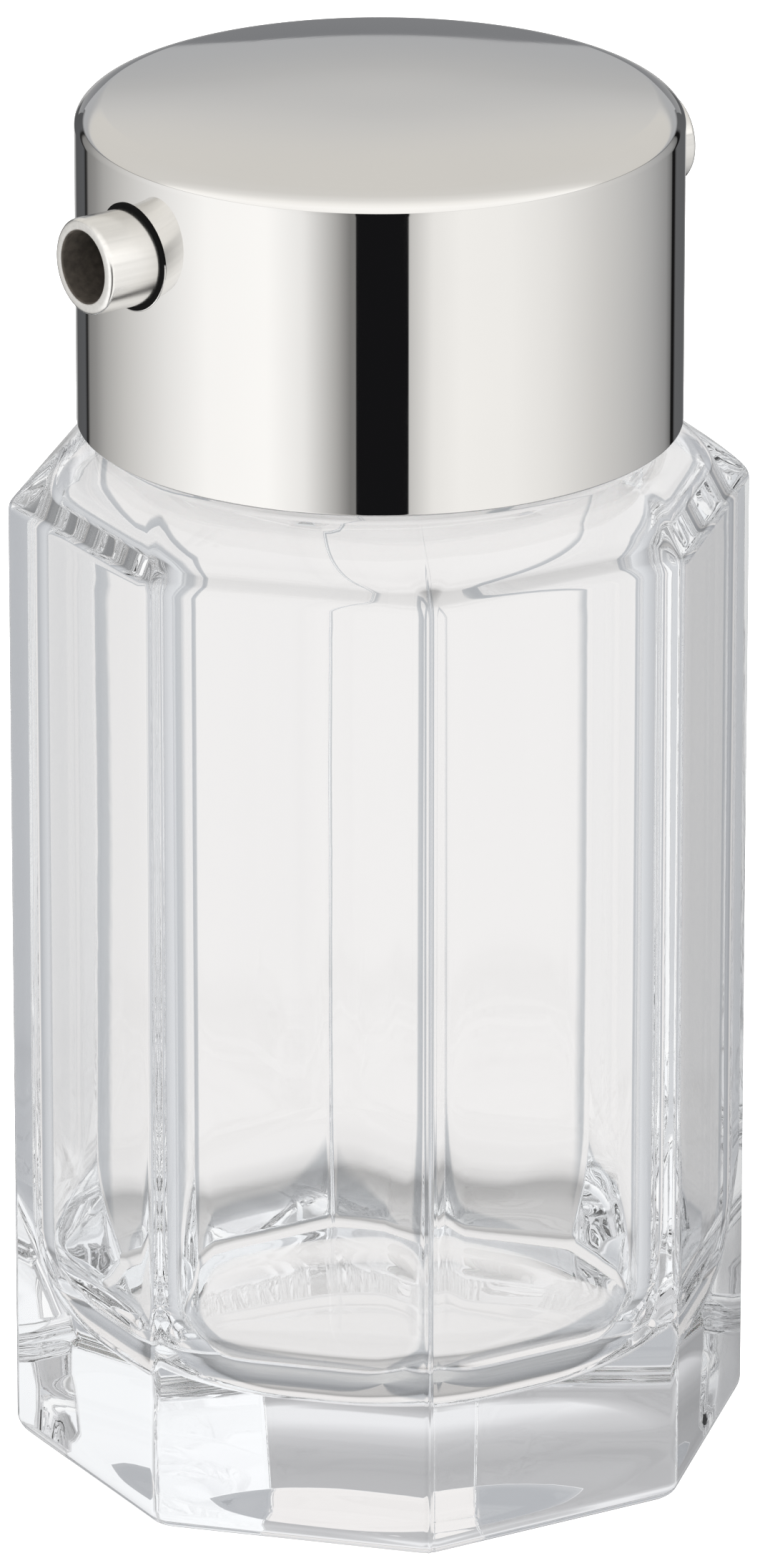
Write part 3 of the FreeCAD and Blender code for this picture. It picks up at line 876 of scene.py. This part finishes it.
def drawn_steel():
    """Bright drawn tube outside; the bore dull and painted brown-black as painted shade for its hollow."""
    material, tree, surface, where = new_material("drawn_steel_tube", (0.72, 0.71, 0.69), 1.0, 0.2)
    lines = {"Vector": where, "Scale": (60.0, 2400.0, 2400.0)}
    drawn = add_node(tree, "ShaderNodeMapping", lines).outputs[0]
    streaks = add_node(tree, "ShaderNodeTexNoise", {"Vector": drawn, "Scale": 1.0, "Detail": 3.0}).outputs[0]
    turned = {"Vector": where, "Location": (0, 0, -tube_axis)}
    centred = add_node(tree, "ShaderNodeMapping", turned).outputs[0]
    stood_up = {"Vector": centred, "Rotation": (0, math.pi / 2, 0)}
    upright = add_node(tree, "ShaderNodeMapping", stood_up).outputs[0]
    marks = add_lathe_marks(tree, upright, 4000.0, 0.14, 0.3)
    x, y, z = add_node(tree, "ShaderNodeSeparateXYZ", {"Vector": centred}).outputs
    squares = maths(tree, "ADD", maths(tree, "MULTIPLY", y, y), maths(tree, "MULTIPLY", z, z))
    from_axis = maths(tree, "SQRT", squares)
    # The bore and the inner rounding of the end get a mottled near-black brown colour, less metal and more
    # roughness: painted shade for the tube's hollow.
    edge = {"Value": from_axis, "From Min": tube_bore + 0.1 * MM, "From Max": tube_bore + 0.25 * MM,
            "To Min": 1.0, "To Max": 0.0}
    in_bore = add_node(tree, "ShaderNodeMapRange", edge).outputs[0]
    bore_mottle = add_node(tree, "ShaderNodeTexNoise", {"Vector": where, "Scale": 1500.0, "Detail": 4.0}).outputs[0]
    outside = mix(tree, streaks, (0.72, 0.71, 0.69, 1), (0.9, 0.89, 0.87, 1))
    bore_painted_shade = mix(tree, bore_mottle, (0.012, 0.01, 0.008, 1), (0.1, 0.085, 0.07, 1))
    tree.links.new(mix(tree, in_bore, outside, bore_painted_shade), surface.inputs["Base Color"])
    metal = add_node(tree, "ShaderNodeMapRange", {"Value": in_bore, "To Min": 1.0, "To Max": 0.3}).outputs[0]
    tree.links.new(metal, surface.inputs["Metallic"])
    dull = maths(tree, "MAXIMUM", marks["Roughness"], maths(tree, "MULTIPLY", in_bore, 0.75))
    tree.links.new(dull, surface.inputs["Roughness"])
    outer_relief = maths(tree, "MULTIPLY", streaks, 0.6)
    relief = maths(tree, "ADD", outer_relief, maths(tree, "MULTIPLY", bore_mottle, in_bore))
    bump = {"Height": relief, "Strength": 0.12, "Distance": 0.02 * MM}
    tree.links.new(add_node(tree, "ShaderNodeBump", bump).outputs[0], surface.inputs["Normal"])
    return material


def tube_outline(inner_end, tip, side):
    """Closed outline (distance from the tube's axis, place along it) of one tube with its collar."""
    def arc(centre, reach, start, end):
        turns = [math.radians(between(start, end, step / 6)) for step in range(7)]
        steps = [(reach * math.cos(turn), side * reach * math.sin(turn)) for turn in turns]
        return [(centre[0] + out, centre[1] + along) for out, along in steps]

    edge = 0.12 * MM
    collar_face = inner_end + side * collar_thickness
    outline = arc((tube_radius - tube_end_round, tip - side * tube_end_round), tube_end_round, 0, 90)
    outline += arc((tube_bore + bore_end_round, tip - side * bore_end_round), bore_end_round, 90, 180)
    outline += arc((tube_bore + edge, inner_end + side * edge), edge, 180, 270)
    outline += arc((collar_radius - edge, inner_end + side * edge), edge, -90, 0)
    outline += arc((collar_radius - edge, collar_face - side * edge), edge, 0, 90)
    outline.append((tube_radius, collar_face))
    return outline + outline[:1]


def sharpen_corners(mesh, limit):
    """Marks edges that turn more than the limit as sharp, and shades the rest smooth."""
    form = bmesh.new()
    form.from_mesh(mesh)
    for edge in form.edges:
        edge.smooth = edge.calc_face_angle(0.0) < limit
    for face in form.faces:
        face.smooth = True
    form.to_mesh(mesh)
    form.free()


tube_steel = drawn_steel()
for node, side in (("pour_tube", -1), ("vent_tube", 1)):
    low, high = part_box(node)
    inner_end, tip = (high.x, low.x) if side < 0 else (low.x, high.x)
    tube_form = bmesh.new()
    ring_bands(tube_form, tube_outline(inner_end, tip, side), 96, around_tube)
    tube = finished_form(tube_form, "drawn_" + node, tube_steel)
    sharpen_corners(tube.data, math.radians(40))
    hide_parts(node)
    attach(tube, "cap")


# ---------------------------------------------------------------- tube seals
# A black rubber ring round each tube: a sleeve that fills the hole in the shell and a flange held behind it.
# The seals are black rubber, but their colour is darkened well below real rubber and their sheen cut, as
# painted shade for the gap between each tube and its hole.
black_rubber_with_painted_shade = moulded_material(
    "black_rubber_with_painted_shade", (0.002, 0.002, 0.002), (0.007, 0.007, 0.007), 3000.0, (0.5, 0.75), 0.5)
black_rubber_with_painted_shade.node_tree.nodes["Principled BSDF"].inputs["Specular IOR Level"].default_value = 0.03
for node in ("pour_tube_seal", "vent_tube_seal"):
    dress_node(node, black_rubber_with_painted_shade)
